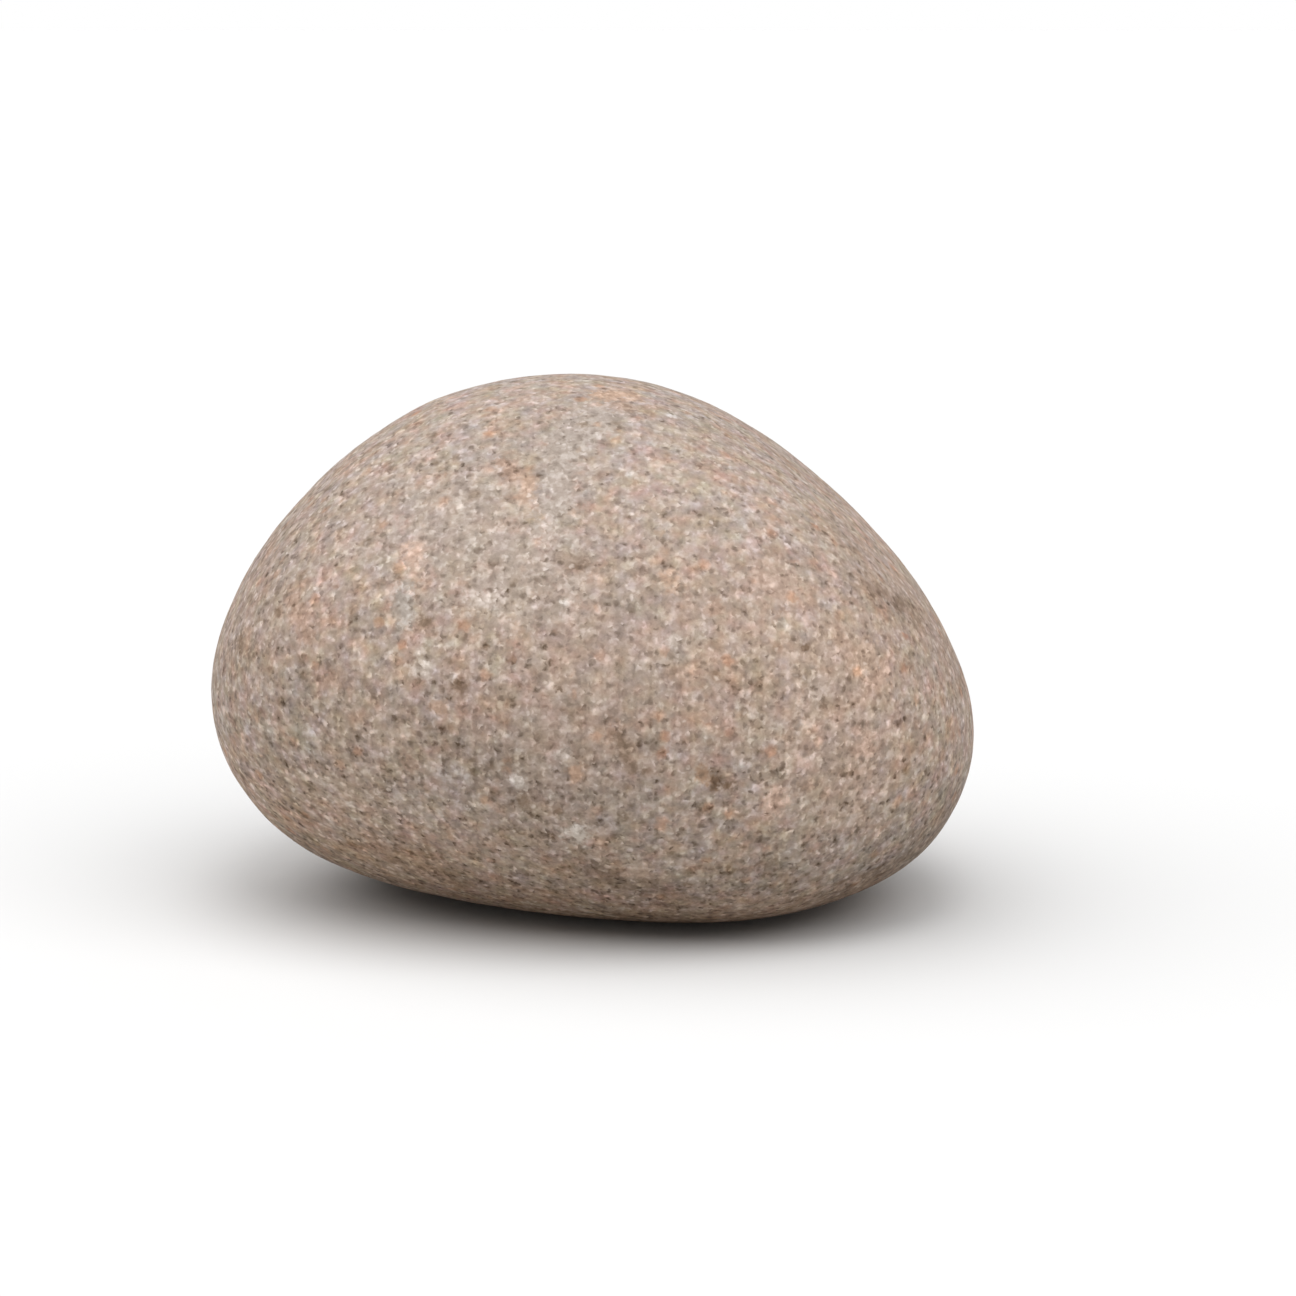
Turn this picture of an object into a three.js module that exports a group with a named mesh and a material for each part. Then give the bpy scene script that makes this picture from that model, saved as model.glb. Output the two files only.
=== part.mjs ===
// A water-worn granite cobble: one solid stone, rounded all over, with one small flat worn underneath
// that it rests on.
//
// Millimetres, +Z up. The front of the stone looks along -Y and its long side runs along X. All its
// faces are measured from the heart, a point deep inside it, and the origin is the point of the
// resting flat straight below the heart.

import * as THREE from 'three';
import { mergeVertices } from 'three/addons/utils/BufferGeometryUtils.js';

// Height of the heart above the resting flat. The underside would round on down to 39.3 mm below
// the heart, so this height cuts a flat about 40 mm long and 28 mm wide there.
const HEART_HEIGHT = 38.5;

// Half-lengths, along X, Y and Z, of the egg-round body that wear has cut into.
const BODY = { x: 67, y: 54, z: 60 };

// The broad faces that wear has cut. A face lies at right angles to its own direction, which is
// given by a bearing (0 to the front, 90 to the right, 180 to the back) and a slope (90 straight up,
// -90 straight down), both in degrees, and its distance is how far it lies from the heart.
const WORN_FACES = [
  { name: 'crown', bearing: 0, slope: 90, distance: 48.5 },
  { name: 'brow', bearing: -5, slope: 45, distance: 48.5 },
  { name: 'right shoulder', bearing: 90, slope: 50, distance: 45 },
  { name: 'left shoulder', bearing: -90, slope: 45, distance: 52 },
  { name: 'back brow', bearing: 190, slope: 50, distance: 45 },
  { name: 'right end', bearing: 95, slope: 15, distance: 63 },
  { name: 'left end', bearing: -100, slope: -5, distance: 66 },
  { name: 'front foot', bearing: -25, slope: -45, distance: 49.5 },
  { name: 'right foot', bearing: 95, slope: -55, distance: 65.5 },
  { name: 'left foot', bearing: -80, slope: -60, distance: 58 },
  { name: 'back foot', bearing: 175, slope: -50, distance: 49.5 },
  { name: 'underside', bearing: 0, slope: -90, distance: 40 },
];

// How tightly the skin turns from one worn face to the next: 2 gives a ball with no faces to be
// seen, 30 gives hard ridges.
const CRISPNESS = 7;

// Steps along each edge of the cube whose grid becomes the facets of the skin, 12 facets for each
// step squared.
const STEPS_PER_EDGE = 28;

// Warm grey-pink stone with a dull, fine-grained skin.
const STONE_COLOUR = 0xab9788;
const STONE_ROUGHNESS = 0.85;
const STONE_METALNESS = 0;

// The unit vector that a worn face looks along.
function lookOf({ bearing, slope }) {
  const turn = THREE.MathUtils.degToRad(bearing);
  const rise = THREE.MathUtils.degToRad(slope);
  return new THREE.Vector3(
    Math.sin(turn) * Math.cos(rise),
    -Math.cos(turn) * Math.cos(rise),
    Math.sin(rise),
  );
}

// Distance from the heart to the skin in a direction, without the resting flat. The egg-round body
// and the plane of each worn face would stop the skin at a distance of their own. The power sum takes
// the nearest of these and rounds the turns between them.
function distanceToSkin(direction, faces) {
  const inBody = Math.hypot(direction.x / BODY.x, direction.y / BODY.y, direction.z / BODY.z);
  let sum = inBody ** CRISPNESS;
  for (const { look, distance } of faces) {
    const inFace = Math.max(0, look.dot(direction)) / distance;
    sum += inFace ** CRISPNESS;
  }
  return sum ** (-1 / CRISPNESS);
}

// Distance from the heart to the level of the resting flat in a direction.
function distanceToFlat(direction) {
  return direction.z < 0 ? HEART_HEIGHT / -direction.z : Infinity;
}

// A closed cube centred on the heart, its sides ruled into a square grid, with the corners shared.
function griddedCube() {
  const cube = new THREE.BoxGeometry(2, 2, 2, STEPS_PER_EDGE, STEPS_PER_EDGE, STEPS_PER_EDGE);
  cube.deleteAttribute('normal');
  cube.deleteAttribute('uv');
  return mergeVertices(cube);
}

// Bends a point of the gridded cube to a direction from the heart. The tangent gives the grid's steps
// equal angles, so that the facets are nearly the same size all over the stone.
function directionOf(point) {
  const evenly = (along) => Math.tan((along * Math.PI) / 4);
  return new THREE.Vector3(evenly(point.x), evenly(point.y), evenly(point.z)).normalize();
}

function stoneGeometry() {
  const faces = WORN_FACES.map((face) => ({ look: lookOf(face), distance: face.distance }));
  const geometry = griddedCube();
  const points = geometry.getAttribute('position');
  const point = new THREE.Vector3();
  for (let index = 0; index < points.count; index += 1) {
    const direction = directionOf(point.fromBufferAttribute(points, index));
    const reach = Math.min(distanceToSkin(direction, faces), distanceToFlat(direction));
    point.copy(direction).multiplyScalar(reach);
    points.setXYZ(index, point.x, point.y, point.z);
  }
  geometry.computeVertexNormals();
  return geometry;
}

function makeStone() {
  const material = new THREE.MeshStandardMaterial({
    color: STONE_COLOUR,
    roughness: STONE_ROUGHNESS,
    metalness: STONE_METALNESS,
  });
  const stone = new THREE.Mesh(stoneGeometry(), material);
  stone.name = 'stone';
  stone.position.z = HEART_HEIGHT;
  return stone;
}

const cobble = new THREE.Group();
cobble.add(makeStone());

export default cobble;
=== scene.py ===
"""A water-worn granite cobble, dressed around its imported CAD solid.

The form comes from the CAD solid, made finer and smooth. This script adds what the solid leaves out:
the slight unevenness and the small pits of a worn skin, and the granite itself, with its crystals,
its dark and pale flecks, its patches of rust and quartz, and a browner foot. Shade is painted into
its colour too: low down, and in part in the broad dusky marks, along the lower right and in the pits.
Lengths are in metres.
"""

import math
import random
from collections import namedtuple

import bmesh
import bpy
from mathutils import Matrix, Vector, kdtree, noise
from mathutils.bvhtree import BVHTree


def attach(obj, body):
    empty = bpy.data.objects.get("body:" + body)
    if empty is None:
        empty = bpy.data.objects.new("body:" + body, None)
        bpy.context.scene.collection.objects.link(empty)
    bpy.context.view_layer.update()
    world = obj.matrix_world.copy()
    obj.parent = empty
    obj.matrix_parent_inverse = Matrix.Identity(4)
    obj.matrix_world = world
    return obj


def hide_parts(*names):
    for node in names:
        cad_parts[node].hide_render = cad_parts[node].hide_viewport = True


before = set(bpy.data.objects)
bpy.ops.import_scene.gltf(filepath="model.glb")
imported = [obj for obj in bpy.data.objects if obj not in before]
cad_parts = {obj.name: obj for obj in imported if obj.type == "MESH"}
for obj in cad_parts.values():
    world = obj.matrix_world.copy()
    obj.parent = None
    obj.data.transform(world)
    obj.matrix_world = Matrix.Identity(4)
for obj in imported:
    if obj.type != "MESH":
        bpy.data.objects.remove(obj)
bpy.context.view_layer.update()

MM = 0.001

# The point deep in the stone that bearings and slopes are measured from. A bearing is 0 to the front
# and 90 to the right, a slope is 0 level and 90 straight up, both in degrees.
HEART = Vector((0, 0, 38.5 * MM))

# The skin's relief: long soft swells with finer and finer unevenness on them, and small pits. Below
# the flat margin it dies away towards the resting flat.
SWELL_LENGTH = 22 * MM
SWELL_HEIGHT = 0.22 * MM
SWELL_SMOOTHNESS = 0.85
SWELL_OCTAVES = 5
OCTAVE_STEP = 2.0
FLAT_MARGIN = 4 * MM
PIT_COUNT = 420
PIT_RADIUS = (0.9 * MM, 1.7 * MM)
PIT_DEPTH = (0.05 * MM, 0.16 * MM)

# How much of its cell in the flat map each side of the stone fills, so that no two sides touch.
MAP_SHARE = 0.97

# The granite's average colour, and how much its grains differ from it at the foot and on the crown.
GRANITE = (0.345, 0.261, 0.206)
FOOT_CONTRAST = 1.40
CROWN_CONTRAST = 0.85

# The sizes in the granite's patterns: the spacing of its grains, of the flakes and glints among them
# and of the larger crystals, how far the grains' edges wobble, the soft clouds between the grains,
# the patches of light and dark and of minerals, the raggedness of marks and of the bands of colour
# and painted shade from foot to crown, and the fine bumps of the skin.
SMALL_GRAIN = 0.8 * MM
MIDDLING_GRAIN = 1.15 * MM
LARGE_GRAIN = 2.3 * MM
FLECK_SPACING = 1.7 * MM
SPECK_SPACING = 3.2 * MM
WOBBLE = 1.1 * MM
CLOUD_SIZE = 1.5 * MM
TONE_PATCH_SIZE = 8 * MM
MINERAL_PATCH_SIZE = 4 * MM
RAGGED_MARK_SIZE = 1.8 * MM
RAGGED_BAND_SIZE = 8 * MM
BUMP_SIZE = 0.7 * MM
BUMP_DEPTH = 0.15 * MM

# The browner foot reaches higher up on the left, and the painted shade low down reaches higher up on
# the right. Both tilts are slopes, and the crown is this high.
FOOT_TILT = 0.2
SHADE_TILT = -0.06
CROWN_HEIGHT = 84 * MM

# The floor's colour, and the light: an even sky, and two large softboxes overhead to the left and
# to the right.
FLOOR = (0.64, 0.64, 0.64)
SKY = 0.38
LEFT_SOFTBOX = 2.36
RIGHT_SOFTBOX = 2.0

# The camera stands in front of the stone and looks a little down on it. The point that it aims at is
# a little to the right of the heart and above it, and is this far off. The view is this wide there.
CAMERA_DISTANCE = 0.6
CAMERA_ELEVATION = math.radians(10)
AIM_RIGHT = 8.75 * MM
AIM_UP = 1.02 * MM
VIEW_WIDTH = 0.2042
SENSOR_WIDTH = 36

Pit = namedtuple("Pit", "centre radius depth")
Mark = namedtuple("Mark", "name start end radius tint strength")

# The colours that marks have, as shares of the granite's average red, green and blue.
RUST = (0.94, 0.82, 0.75)
ORANGE = (1.17, 1.01, 0.89)
PEACH = (1.40, 1.27, 1.23)
PINK = (1.05, 0.97, 0.95)
GREY = (0.99, 1.055, 1.10)
BLUISH = (0.99, 1.11, 1.20)
QUARTZ = (1.33, 1.46, 1.58)
BRIGHT_QUARTZ = (1.55, 1.75, 1.92)
CREAM = (1.36, 1.31, 1.27)
DUSKY = (0.80, 0.79, 0.79)
DARK = (0.60, 0.53, 0.45)
BROWN = (0.84, 0.71, 0.58)
BLACK = (0.44, 0.36, 0.28)

# The marks that can be told apart on the front, the broad ones first. Each runs from one bearing and
# slope to another, or is round where the two are the same, and its radius is in millimetres.
MARKS = [
    # The broad dusky marks, and the dark marks along the lower right edge and the right foot, are partly
    # painted shade and partly the stone's own darker patches.
    Mark("dusky middle", (2, 12), (-2, -6), 17.0, DUSKY, 0.40),
    Mark("dusky lower middle", (-10, -12), (-10, -12), 13.0, DUSKY, 0.35),
    Mark("dusky left shoulder", (-67, 22), (-60, 10), 12.0, DUSKY, 0.25),
    Mark("dusky left brow", (-47, 32), (-47, 32), 11.0, DUSKY, 0.25),
    Mark("dusky right shoulder", (53, 24), (64, 12), 9.0, DUSKY, 0.40),
    Mark("dusky right end", (71, 3), (71, 3), 10.0, DUSKY, 0.45),
    Mark("grey left brow", (-30, 34), (-14, 24), 11.0, GREY, 0.6),
    Mark("grey vein on the crown", (6, 62), (-8, 52), 4.2, GREY, 0.8),
    Mark("grey vein on the brow", (-8, 52), (-7, 38), 4.2, GREY, 0.9),
    Mark("pale right cheek", (40, 5), (42, -10), 13.0, CREAM, 0.38),
    Mark("pale right of middle", (24, 14), (26, 0), 10.0, CREAM, 0.17),
    Mark("pale patch, low left", (-37, -5), (-44, -15), 9.0, CREAM, 0.27),
    Mark("pink patch, right", (33, 20), (33, 20), 5.5, PINK, 0.8),
    Mark("brown patch, low left", (-43, -30), (-37, -37), 6.0, BROWN, 0.45),
    Mark("dark patch by the foot", (3, -31), (13, -32), 4.0, DARK, 0.45),
    Mark("dark lower right edge", (70, -24), (60, -34), 11.0, DARK, 0.60),
    Mark("dark right foot", (60, -34), (18, -48), 9.0, DARK, 0.65),
    Mark("orange spot on the crown", (8, 71), (22, 71), 3.0, ORANGE, 1.0),
    Mark("rusty edge of the crown spot", (15, 66), (15, 66), 2.8, RUST, 0.7),
    Mark("rusty spot on the brow", (-23, 47), (-20, 45), 2.2, RUST, 1.0),
    Mark("orange tail of the brow spot", (-15, 43), (-15, 40), 2.0, ORANGE, 0.8),
    Mark("rusty streak, upper left", (-53, 15), (-47, 10), 2.0, RUST, 0.8),
    Mark("rusty spot, left", (-42, 4), (-42, 4), 2.2, RUST, 0.8),
    Mark("rusty spot, low left", (-30, -9), (-30, -9), 2.0, RUST, 0.8),
    Mark("rust above the split fleck", (4, -2), (4, -2), 1.9, RUST, 0.8),
    Mark("rust beside the open pit", (18, -9.5), (20, -10.2), 1.7, BROWN, 1.0),
    Mark("rusty spot, right of the brow", (22, 17), (22, 17), 1.8, RUST, 0.8),
    Mark("orange spot above it", (15, 22), (15, 22), 2.0, ORANGE, 0.8),
    Mark("orange spot, left of middle", (-24, 1), (-24, 1), 1.8, ORANGE, 0.7),
    Mark("orange spot, low middle", (-2, -9), (-2, -9), 1.7, ORANGE, 1.0),
    Mark("peach spot, low right", (30, -14), (30, -14), 2.6, PEACH, 1.0),
    Mark("peach spot, upper left", (-34, 25), (-34, 25), 2.6, PEACH, 1.0),
    Mark("peach spot on the right cheek", (47, 4), (47, 4), 2.6, PEACH, 0.8),
    Mark("peach spot, lower on the cheek", (44, -6), (44, -6), 2.4, PEACH, 0.8),
    Mark("cream spot on the right cheek", (45, 7), (45, 7), 3.0, CREAM, 1.0),
    Mark("pale spot by the foot", (10, -28), (10, -28), 2.0, CREAM, 0.7),
    Mark("pale patch on the brow", (-8, 32), (-8, 32), 3.2, QUARTZ, 0.3),
    Mark("bluish streak, left", (-33, 18), (-31, 14), 1.9, BLUISH, 1.0),
    Mark("pale spots, left of middle", (-20, 18), (-16, 21), 2.2, QUARTZ, 0.45),
    Mark("quartz spot, left", (-27, 7), (-27, 7), 2.0, BRIGHT_QUARTZ, 0.7),
    Mark("quartz spot, low middle", (-4, -6), (-4, -6), 1.6, QUARTZ, 0.8),
    Mark("quartz spot, right of middle", (14, 12), (14, 12), 1.4, QUARTZ, 0.9),
    Mark("quartz spot, right", (35, 3), (35, 3), 2.4, QUARTZ, 0.5),
    Mark("quartz spot, lower left", (-11, -11), (-11, -11), 1.5, BRIGHT_QUARTZ, 0.8),
    Mark("quartz spot by the foot", (-2, -21.5), (-2, -21.5), 2.4, BRIGHT_QUARTZ, 1.0),
    Mark("dark spot on the brow", (-4, 27), (-2, 26), 1.9, DARK, 0.6),
    Mark("dark spot, left of middle", (-21, 4), (-21, 4), 2.1, DARK, 0.7),
    Mark("black fleck in it", (-21, 5), (-21, 5), 0.9, BLACK, 1.0),
    Mark("black fleck, left", (-17, 11), (-17, 11), 0.8, BLACK, 0.9),
    Mark("black fleck, right", (35, 9.5), (35, 9.5), 0.9, BLACK, 0.9),
    Mark("dark spot, upper left", (-28, 14), (-28, 14), 1.6, DARK, 1.0),
    Mark("dark spot, far left", (-62, 6), (-62, 6), 2.0, DARK, 0.9),
    Mark("dark spot, lower middle", (-11, -15), (-11, -15), 2.0, DARK, 0.9),
    Mark("dark spot, low right", (46, -16), (46, -16), 1.7, DARK, 0.6),
    Mark("dark streak, far right", (52, 17), (62, 11), 3.4, DARK, 0.6),
    Mark("split dark fleck", (5, -3), (7, -8), 1.4, DARK, 0.7),
    Mark("open pit", (20.5, -10.6), (22, -11), 1.3, BLACK, 1.0),
]

# Pits that can be told apart: bearing, slope, radius and depth, the last two in millimetres.
OPEN_PITS = [
    (21, -10, 2.0, 0.40),
    (-20, 4, 1.6, 0.22),
    (-1, 26, 2.0, 0.20),
    (5, -5, 1.8, 0.22),
    (58, 13, 2.2, 0.25),
]


def direction(bearing, slope):
    """The unit vector of a bearing and a slope."""
    turn = math.radians(bearing)
    rise = math.radians(slope)
    return Vector((
        math.sin(turn) * math.cos(rise),
        -math.cos(turn) * math.cos(rise),
        math.sin(rise),
    ))


def smooth_step(value, low, high):
    """0 below low and 1 above high, with a smooth rise between them."""
    share = min(max((value - low) / (high - low), 0), 1)
    return share * share * (3 - 2 * share)


# The stone's shape.


def cad_skin():
    """The CAD solid's surface as a net of four-sided faces."""
    net = bmesh.new()
    net.from_mesh(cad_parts["stone"].data)
    bmesh.ops.remove_doubles(net, verts=net.verts, dist=1e-6)
    bmesh.ops.join_triangles(
        net,
        faces=net.faces,
        angle_face_threshold=math.radians(40),
        angle_shape_threshold=math.radians(60),
    )
    mesh = bpy.data.meshes.new("cad_skin")
    net.to_mesh(mesh)
    net.free()
    return mesh


def refined(mesh):
    """A mesh's smooth subdivision surface, as a mesh of its own."""
    holder = bpy.data.objects.new("holder", mesh)
    bpy.context.scene.collection.objects.link(holder)
    modifier = holder.modifiers.new("smooth", "SUBSURF")
    modifier.levels = 2
    evaluated = holder.evaluated_get(bpy.context.evaluated_depsgraph_get())
    fine = bpy.data.meshes.new_from_object(evaluated)
    bpy.data.objects.remove(holder)
    bpy.data.meshes.remove(mesh)
    return fine


def point_finder(mesh):
    """A function that gives the point of the skin at a bearing and slope from the heart."""
    points = [vertex.co for vertex in mesh.vertices]
    skin = BVHTree.FromPolygons(points, [face.vertices for face in mesh.polygons])

    def skin_point(bearing, slope):
        return skin.ray_cast(HEART, direction(bearing, slope))[0]

    return skin_point


def scattered_pits(mesh):
    """Small pits at random points of the skin."""
    draw = random.Random(11)
    pits = []
    for vertex in draw.sample(list(mesh.vertices), PIT_COUNT):
        pits.append(Pit(vertex.co.copy(), draw.uniform(*PIT_RADIUS), draw.uniform(*PIT_DEPTH)))
    return pits


def carve(mesh, pits):
    """Moves the skin's points in and out to the relief of a worn stone."""
    tree = kdtree.KDTree(len(pits))
    for index, pit in enumerate(pits):
        tree.insert(pit.centre, index)
    tree.balance()
    reach = max(pit.radius for pit in pits)
    depths = mesh.attributes.new("pit", "FLOAT", "POINT")
    places = [vertex.co.copy() for vertex in mesh.vertices]
    normals = [vertex.normal.copy() for vertex in mesh.vertices]
    for vertex, place, normal in zip(mesh.vertices, places, normals):
        fade = smooth_step(place.z, 0, FLAT_MARGIN)
        swell = noise.fractal(place / SWELL_LENGTH, SWELL_SMOOTHNESS, OCTAVE_STEP, SWELL_OCTAVES)
        sunk = 0
        for _, index, distance in tree.find_range(place, reach):
            pit = pits[index]
            sunk = max(sunk, pit.depth * (1 - smooth_step(distance, 0, pit.radius)))
        vertex.co = place + normal * (swell * SWELL_HEIGHT - sunk) * fade
        depths.data[vertex.index].value = min(sunk / PIT_DEPTH[1], 1) * fade


def lay_out_flat(mesh):
    """Lays the skin out on the six sides of a cube round the heart, in three columns and two rows.

    This is the map that the material's patterns are baked through when the model is exported.
    """
    layer = mesh.uv_layers.new(name="OFBake")
    for face in mesh.polygons:
        outward = face.center - HEART
        axis = max(range(3), key=lambda a: abs(outward[a]))
        long_way, short_way = (a for a in range(3) if a != axis)
        row = 1 if outward[axis] > 0 else 0
        for loop_index in face.loop_indices:
            spoke = mesh.vertices[mesh.loops[loop_index].vertex_index].co - HEART
            across = math.atan2(spoke[short_way], abs(spoke[axis])) / math.radians(90)
            up = math.atan2(spoke[long_way], abs(spoke[axis])) / math.radians(90)
            across = 0.5 + across * MAP_SHARE
            up = 0.5 + up * MAP_SHARE
            layer.data[loop_index].uv = ((axis + across) / 3, (row + up) / 2)


def make_stone():
    """The stone's visible piece: the CAD solid made fine, carved and given its granite."""
    mesh = refined(cad_skin())
    mesh.name = "granite_stone"
    skin_point = point_finder(mesh)
    pits = scattered_pits(mesh)
    for bearing, slope, radius, depth in OPEN_PITS:
        pits.append(Pit(skin_point(bearing, slope), radius * MM, depth * MM))
    carve(mesh, pits)
    lay_out_flat(mesh)
    for face in mesh.polygons:
        face.use_smooth = True
    stone = bpy.data.objects.new("granite_stone", mesh)
    bpy.context.scene.collection.objects.link(stone)
    mesh.materials.append(granite(skin_point))
    return stone


# The stone's material.


class Recipe:
    """A material's node tree, with a method for each kind of node that the patterns are made of."""

    def __init__(self, name):
        self.material = bpy.data.materials.new(name)
        self.material.use_nodes = True
        self.tree = self.material.node_tree
        self.shader = self.tree.nodes["Principled BSDF"]

    def feed(self, socket, value):
        """Gives an input another node's output, or a value of its own."""
        if isinstance(value, bpy.types.NodeSocket):
            self.tree.links.new(value, socket)
        elif isinstance(value, tuple) and socket.type == "RGBA":
            socket.default_value = (*value, 1)
        else:
            socket.default_value = value

    def add(self, kind, inputs, **settings):
        """Adds a node, with its settings, and feeds its inputs by name or number."""
        node = self.tree.nodes.new(kind)
        for name, value in settings.items():
            setattr(node, name, value)
        for name, value in inputs.items():
            self.feed(node.inputs[name], value)
        return node

    def maths(self, operation, a, b=0.0, c=0.0):
        return self.add("ShaderNodeMath", {0: a, 1: b, 2: c}, operation=operation).outputs[0]

    def vector(self, operation, inputs):
        return self.add("ShaderNodeVectorMath", inputs, operation=operation)

    def noise(self, where, size, detail=2.0, roughness=0.5):
        """Soft random levels from 0 to 1, most of them near 0.5."""
        inputs = {"Vector": where, "Scale": 1 / size, "Detail": detail, "Roughness": roughness}
        return self.add("ShaderNodeTexNoise", inputs).outputs["Fac"]

    def cells(self, where, size):
        """Random cells, each with a colour of its own, and the distance from their middles."""
        return self.add("ShaderNodeTexVoronoi", {"Vector": where, "Scale": 1 / size})

    def chances(self, cells):
        """Three random numbers from 0 to 1 for each cell."""
        return self.add("ShaderNodeSeparateColor", {0: cells.outputs["Color"]}).outputs

    def rise(self, value, low, high, to_low=0.0, to_high=1.0):
        """A smooth rise, or fall where low is above high, from one level to another."""
        inputs = {"Value": value, "From Min": low, "From Max": high, "To Min": to_low, "To Max": to_high}
        return self.add("ShaderNodeMapRange", inputs, interpolation_type="SMOOTHSTEP").outputs[0]

    def level(self, value, to_low, to_high):
        """A number from 0 to 1 stretched evenly from one level to another."""
        inputs = {"Value": value, "To Min": to_low, "To Max": to_high}
        return self.add("ShaderNodeMapRange", inputs, clamp=False).outputs[0]

    def ramp(self, value, stops):
        """The colour that a number from 0 to 1 has on a scale of colours."""
        node = self.add("ShaderNodeValToRGB", {"Fac": value})
        elements = node.color_ramp.elements
        while len(elements) < len(stops):
            elements.new(0.5)
        for element, (place, colour) in zip(elements, stops):
            element.position = place
            element.color = (*colour, 1)
        return node.outputs["Color"]

    def mix(self, share, a, b, blend="MIX"):
        node = self.add("ShaderNodeMix", {0: share, 6: a, 7: b}, data_type="RGBA", blend_type=blend)
        return node.outputs[2]

    def tinted(self, colour, tint, share):
        """A colour times a tint, by a share of its full strength."""
        return self.mix(share, colour, tint, "MULTIPLY")


def crystals(recipe, where, size):
    """Soft round grains, one to a cell: -1 in the darkest, 1 in the lightest, 0 between the grains.

    Gives each cell's random numbers too.
    """
    cells = recipe.cells(where, size)
    chances = recipe.chances(cells)
    grain = recipe.rise(cells.outputs["Distance"], 0.62, 0.10)
    return recipe.maths("MULTIPLY", recipe.level(chances[0], -1, 1), grain), chances


def crystal_tone(recipe, where, above_foot):
    """How light the granite is, from 0 to 1: grains of three sizes, and soft clouds between them.

    The contrast is stronger near the foot and weaker on the crown. Gives the middling grains' random
    numbers too.
    """
    small, _ = crystals(recipe, where, SMALL_GRAIN)
    middling, chances = crystals(recipe, where, MIDDLING_GRAIN)
    large, _ = crystals(recipe, where, LARGE_GRAIN)
    clouds = recipe.noise(where, CLOUD_SIZE, detail=2, roughness=0.65)
    patches = recipe.noise(where, TONE_PATCH_SIZE, detail=3, roughness=0.9)
    tone = recipe.maths("ADD", recipe.level(clouds, 0.12, 0.88), recipe.level(patches, -0.12, 0.12))
    for grains, strength in ((small, 0.24), (middling, 0.28), (large, 0.19)):
        tone = recipe.maths("MULTIPLY_ADD", grains, strength, tone)
    contrast = recipe.level(above_foot, FOOT_CONTRAST, CROWN_CONTRAST)
    off_middle = recipe.maths("SUBTRACT", tone, 0.5)
    return recipe.maths("MULTIPLY_ADD", off_middle, contrast, 0.5), chances


def toned(recipe, colour, tone):
    """Browner where it is dark, and greyer where it is light."""
    scale = recipe.ramp(tone, [
        (0.00, (0.25, 0.20, 0.15)),
        (0.50, (1.00, 1.00, 1.00)),
        (1.00, (1.90, 2.04, 2.22)),
    ])
    return recipe.mix(1.0, colour, scale, "MULTIPLY")


def mineral_colour(recipe, where):
    """Patches of pink feldspar or grey quartz, and of cream or lilac, over the granite's average."""
    patches = recipe.add("ShaderNodeTexNoise", {
        "Vector": where, "Scale": 1 / MINERAL_PATCH_SIZE, "Detail": 2, "Roughness": 0.75,
    })
    kinds = recipe.add("ShaderNodeSeparateColor", {0: patches.outputs["Color"]}).outputs
    pink = recipe.ramp(kinds[0], [
        (0.24, (0.955, 1.055, 1.12)),
        (0.50, (1.00, 1.00, 1.00)),
        (0.76, (1.03, 0.86, 0.79)),
    ])
    cream = recipe.ramp(kinds[1], [
        (0.24, (1.01, 1.00, 1.14)),
        (0.50, (1.00, 1.00, 1.00)),
        (0.76, (0.99, 1.00, 0.87)),
    ])
    return recipe.tinted(recipe.tinted(pink, cream, 1.0), GRANITE, 1.0)


def with_specks(recipe, where, colour):
    """Here and there a larger crystal: pale quartz, orange feldspar or dark mica."""
    cells = recipe.cells(where, SPECK_SPACING)
    chances = recipe.chances(cells)
    tint = recipe.ramp(chances[0], [
        (0.18, (1.25, 1.34, 1.42)),
        (0.22, (1.00, 1.00, 1.00)),
        (0.40, (1.00, 1.00, 1.00)),
        (0.45, (1.12, 0.93, 0.80)),
        (0.72, (1.00, 0.79, 0.66)),
        (0.77, (0.66, 0.60, 0.53)),
    ])
    shape = recipe.rise(cells.outputs["Distance"], 0.42, 0.12)
    share = recipe.maths("MULTIPLY", shape, recipe.rise(chances[1], 0.2, 0.9))
    return recipe.tinted(colour, tint, share)


def with_flecks(recipe, where, colour):
    """Small dark flakes of mica and small pale glints, each in some of the cells.

    Gives how much of a glint there is too.
    """
    cells = recipe.cells(where, FLECK_SPACING)
    chances = recipe.chances(cells)
    middle = cells.outputs["Distance"]
    flake = recipe.maths("MULTIPLY", recipe.rise(middle, 0.48, 0.06), recipe.rise(chances[0], 0.60, 1.1))
    glint = recipe.maths("MULTIPLY", recipe.rise(middle, 0.30, 0.06), recipe.rise(chances[1], 0.80, 1.0))
    colour = recipe.mix(flake, colour, (0.130, 0.087, 0.060))
    return recipe.mix(recipe.maths("MULTIPLY", glint, 0.6), colour, (0.66, 0.54, 0.46)), glint


def distance_from(recipe, where, start, end):
    """How far off the straight line between two points of the skin a place is."""
    if start == end:
        return recipe.vector("DISTANCE", {0: where, 1: start}).outputs["Value"]
    along = end - start
    from_start = recipe.vector("SUBTRACT", {0: where, 1: start}).outputs[0]
    share = recipe.vector("DOT_PRODUCT", {0: from_start, 1: along / along.length_squared}).outputs["Value"]
    share = recipe.add("ShaderNodeClamp", {"Value": share}).outputs[0]
    nearest = recipe.vector("SCALE", {0: along, "Scale": share}).outputs[0]
    return recipe.vector("DISTANCE", {0: from_start, 1: nearest}).outputs["Value"]


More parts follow.
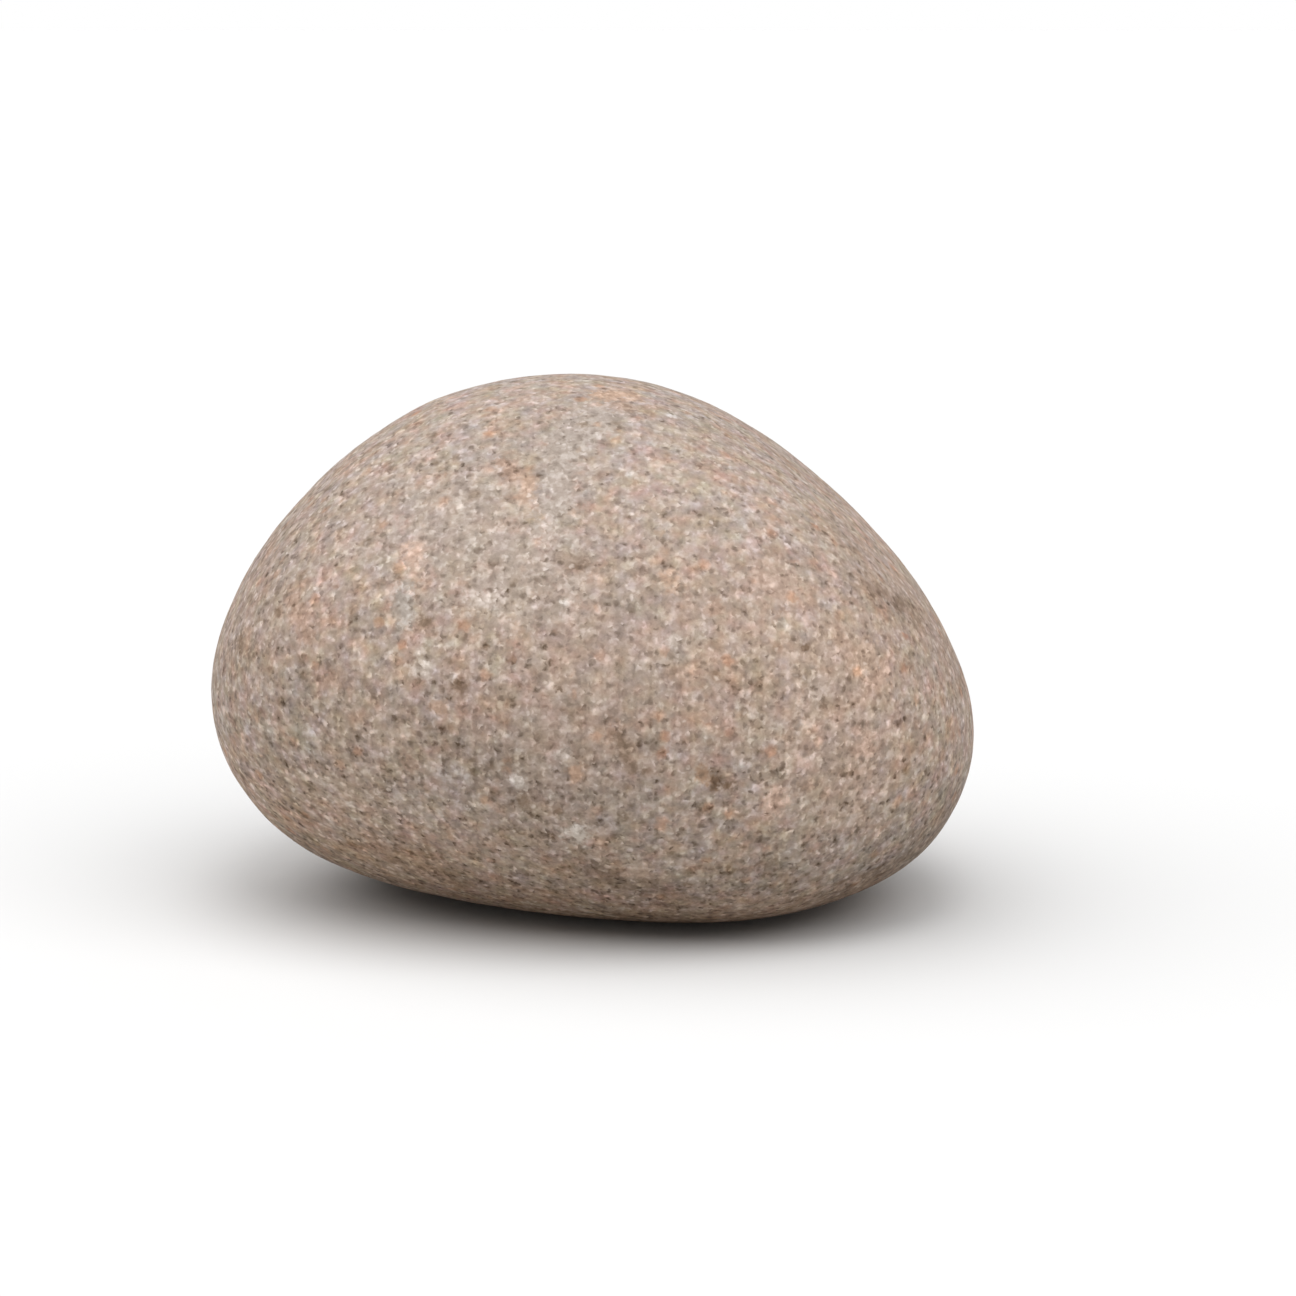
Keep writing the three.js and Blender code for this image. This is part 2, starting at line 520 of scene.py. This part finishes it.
def with_marks(recipe, where, colour, skin_point):
    """Lays the marks over the granite, each in its own colour."""
    ragged = recipe.level(recipe.noise(where, RAGGED_MARK_SIZE, detail=3, roughness=0.7), -1.4, 1.4)
    for mark in MARKS:
        radius = mark.radius * MM
        distance = distance_from(recipe, where, skin_point(*mark.start), skin_point(*mark.end))
        distance = recipe.maths("MULTIPLY_ADD", ragged, radius, distance)
        share = recipe.rise(distance, radius * 1.2, radius * 0.2, to_high=mark.strength)
        own_colour = tuple(average * part for average, part in zip(GRANITE, mark.tint))
        colour = recipe.mix(share, colour, own_colour)
        colour.node.label = mark.name
    return colour


def with_browner_foot(recipe, above_foot, colour):
    """Browner round the foot, under a thin greyer band."""
    tint = recipe.ramp(above_foot, [
        (0.05, (1.045, 0.985, 0.885)),
        (0.13, (1.03, 0.99, 0.93)),
        (0.19, (1.00, 1.00, 0.97)),
        (0.27, (0.98, 1.006, 1.01)),
        (0.42, (1.00, 1.00, 1.00)),
    ])
    return recipe.tinted(colour, tint, 1.0)


def with_painted_shade_and_grey_crown(recipe, above_painted_shade, colour):
    """Painted shade low down, darkest a little above the resting flat, and a greyer, bluer crown."""
    tint = recipe.ramp(above_painted_shade, [
        (0.02, (0.95, 0.95, 0.95)),
        (0.11, (0.78, 0.78, 0.78)),
        (0.20, (0.93, 0.93, 0.93)),
        (0.27, (1.00, 1.00, 1.00)),
        (0.55, (1.00, 1.00, 1.00)),
        (0.95, (0.96, 1.005, 1.055)),
    ])
    return recipe.tinted(colour, tint, 1.0)


def granite(skin_point):
    """The granite, from its grains up to the marks on its skin, with some shade painted into its colour.
    """
    recipe = Recipe("granite")
    place = recipe.add("ShaderNodeTexCoord", {}).outputs["Object"]
    wobble = recipe.add("ShaderNodeTexNoise", {"Vector": place, "Scale": 1 / SMALL_GRAIN}).outputs["Color"]
    where = recipe.vector("MULTIPLY_ADD", {0: wobble, 1: (WOBBLE,) * 3, 2: place}).outputs[0]

    parts = recipe.add("ShaderNodeSeparateXYZ", {0: place}).outputs
    ragged = recipe.level(recipe.noise(place, RAGGED_BAND_SIZE, detail=3), -0.06, 0.06)
    height = recipe.maths("MULTIPLY_ADD", parts["Z"], 1 / CROWN_HEIGHT, ragged)
    across = recipe.maths("DIVIDE", parts["X"], CROWN_HEIGHT)
    above_foot = recipe.maths("MULTIPLY_ADD", across, FOOT_TILT, height)
    above_painted_shade = recipe.maths("MULTIPLY_ADD", across, SHADE_TILT, height)

    tone, chances = crystal_tone(recipe, where, above_foot)
    colour = mineral_colour(recipe, place)
    colour = with_marks(recipe, place, colour, skin_point)
    colour = with_specks(recipe, where, colour)
    colour = toned(recipe, colour, tone)
    colour, glint = with_flecks(recipe, where, colour)
    colour = with_browner_foot(recipe, above_foot, colour)
    # Painted shade low down, and a greyer crown.
    colour = with_painted_shade_and_grey_crown(recipe, above_painted_shade, colour)
    # The pits are darkened by their depth: partly painted shade in their hollows, partly dirt in them.
    pit = recipe.add("ShaderNodeAttribute", {}, attribute_name="pit").outputs["Fac"]
    colour = recipe.tinted(colour, (0.70, 0.66, 0.62), recipe.maths("MULTIPLY", pit, 0.7))
    recipe.feed(recipe.shader.inputs["Base Color"], colour)

    roughness = recipe.maths("MULTIPLY_ADD", glint, -0.35, recipe.level(chances[2], 0.66, 0.86))
    recipe.feed(recipe.shader.inputs["Roughness"], roughness)
    recipe.shader.inputs["Specular IOR Level"].default_value = 0.3

    worn = recipe.noise(place, BUMP_SIZE, detail=2, roughness=0.6)
    bump = recipe.add("ShaderNodeBump", {"Height": worn, "Strength": 0.5, "Distance": BUMP_DEPTH})
    recipe.feed(recipe.shader.inputs["Normal"], bump.outputs["Normal"])
    return recipe.material


# The floor, the light and the camera.


def make_floor():
    """A plain pale floor that the light makes white, so wide that its edges are out of sight."""
    half = 10
    corners = [(-half, -half, 0), (half, -half, 0), (half, half, 0), (-half, half, 0)]
    mesh = bpy.data.meshes.new("floor")
    mesh.from_pydata(corners, [], [(0, 1, 2, 3)])
    floor = bpy.data.objects.new("floor", mesh)
    bpy.context.scene.collection.objects.link(floor)
    recipe = Recipe("pale floor")
    recipe.shader.inputs["Base Color"].default_value = (*FLOOR, 1)
    recipe.shader.inputs["Roughness"].default_value = 1
    recipe.shader.inputs["Specular IOR Level"].default_value = 0
    mesh.materials.append(recipe.material)


def make_sky():
    """A white room, dim as a light but seen by the camera as plain white."""
    world = bpy.data.worlds.new("studio")
    world.use_nodes = True
    tree = world.node_tree
    seen = tree.nodes.new("ShaderNodeLightPath").outputs["Is Camera Ray"]
    strength = tree.nodes.new("ShaderNodeMapRange")
    strength.inputs["To Min"].default_value = SKY
    background = tree.nodes["Background"]
    background.inputs["Color"].default_value = (1, 1, 1, 1)
    tree.links.new(seen, strength.inputs["Value"])
    tree.links.new(strength.outputs["Result"], background.inputs["Strength"])
    bpy.context.scene.world = world


def make_softbox(name, strength, width, forward, sideways):
    """A far, soft light of an angular width, leant forward and sideways from straight overhead."""
    lamp = bpy.data.lights.new(name, "SUN")
    lamp.energy = strength
    lamp.angle = math.radians(width)
    softbox = bpy.data.objects.new(name, lamp)
    softbox.rotation_euler = (math.radians(forward), math.radians(sideways), 0)
    bpy.context.scene.collection.objects.link(softbox)


def make_camera():
    """The camera that the stone is seen through, level from side to side."""
    camera = bpy.data.cameras.new("camera")
    camera.sensor_width = SENSOR_WIDTH
    camera.lens = SENSOR_WIDTH * CAMERA_DISTANCE / VIEW_WIDTH
    camera.clip_start = 0.01
    eye = bpy.data.objects.new("camera", camera)
    back = Vector((0, -math.cos(CAMERA_ELEVATION), math.sin(CAMERA_ELEVATION)))
    right = Vector((1, 0, 0))
    up = back.cross(right)
    aim = HEART + right * AIM_RIGHT + up * AIM_UP
    eye.location = aim + back * CAMERA_DISTANCE
    eye.rotation_euler = (math.radians(90) - CAMERA_ELEVATION, 0, 0)
    bpy.context.scene.collection.objects.link(eye)
    bpy.context.scene.camera = eye


stone = make_stone()
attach(stone, "root")
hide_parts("stone")
make_floor()
make_sky()
make_softbox("left softbox", LEFT_SOFTBOX, width=80, forward=5, sideways=-25)
make_softbox("right softbox", RIGHT_SOFTBOX, width=60, forward=25, sideways=25)
make_camera()
bpy.context.scene.view_settings.view_transform = "Standard"
